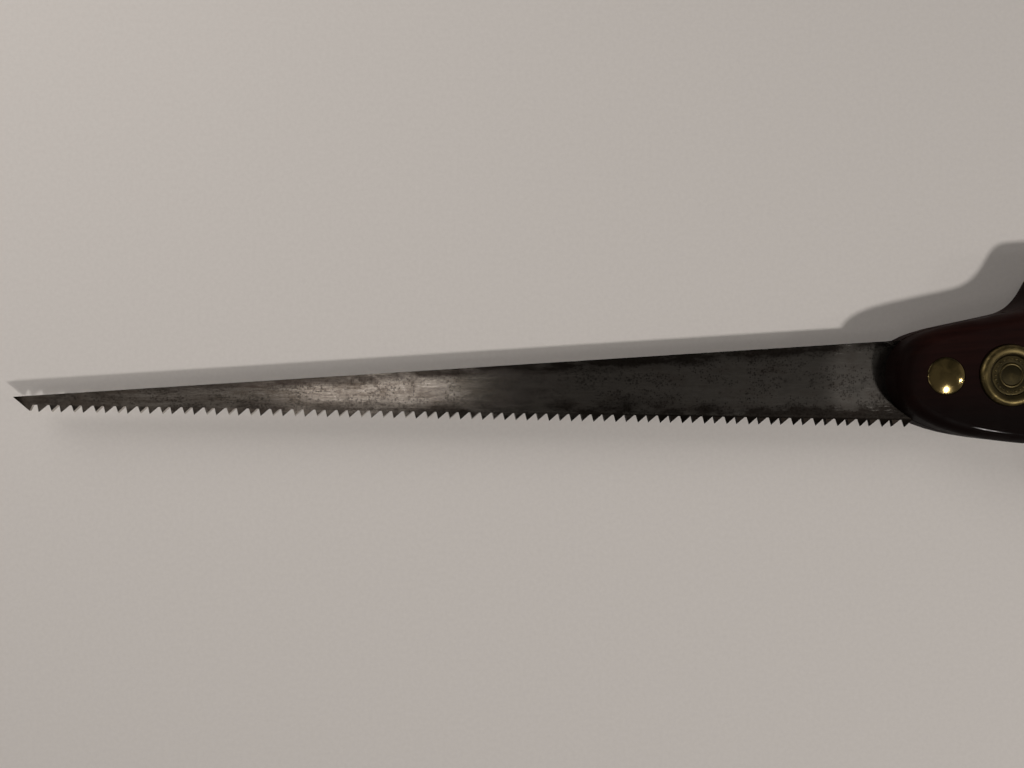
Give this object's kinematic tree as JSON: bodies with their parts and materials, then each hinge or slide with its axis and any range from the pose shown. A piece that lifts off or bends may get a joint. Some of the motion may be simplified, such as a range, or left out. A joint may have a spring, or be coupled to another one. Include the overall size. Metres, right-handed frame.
{
  "type": "keyhole saw",
  "caption": "Keyhole saw with a long tapered blade fixed in a hardwood pistol handle by two brass saw screws with slotted nuts.",
  "frame": {"origin": "middle of the saw's footprint, on the surface that the handle's flat side lies on", "axes": "+X along the tooth line from toe to handle, +Y from the tooth points towards the blade's back, +Z out of the side with the screw heads"},
  "size_m": [0.4146, 0.1088, 0.0235],
  "materials": {
    "blade_steel": "dark patina with fine pits and streaks along the blade",
    "handle_wood": "dark red-brown hardwood under old varnish",
    "screw_brass": "worn and tarnished, polished on the high spots",
    "nut_brass": "tarnished, with a screwdriver slot",
    "disc_brass": "pressed disc, tarnished in its hollows"
  },
  "bodies": {
    "root": {"blade": "blade_steel", "handle": "handle_wood", "front_screw": "screw_brass", "front_nut": "nut_brass", "medallion_screw": "screw_brass", "medallion_disc": "disc_brass", "medallion_nut": "nut_brass"}
  },
  "joints": []
}
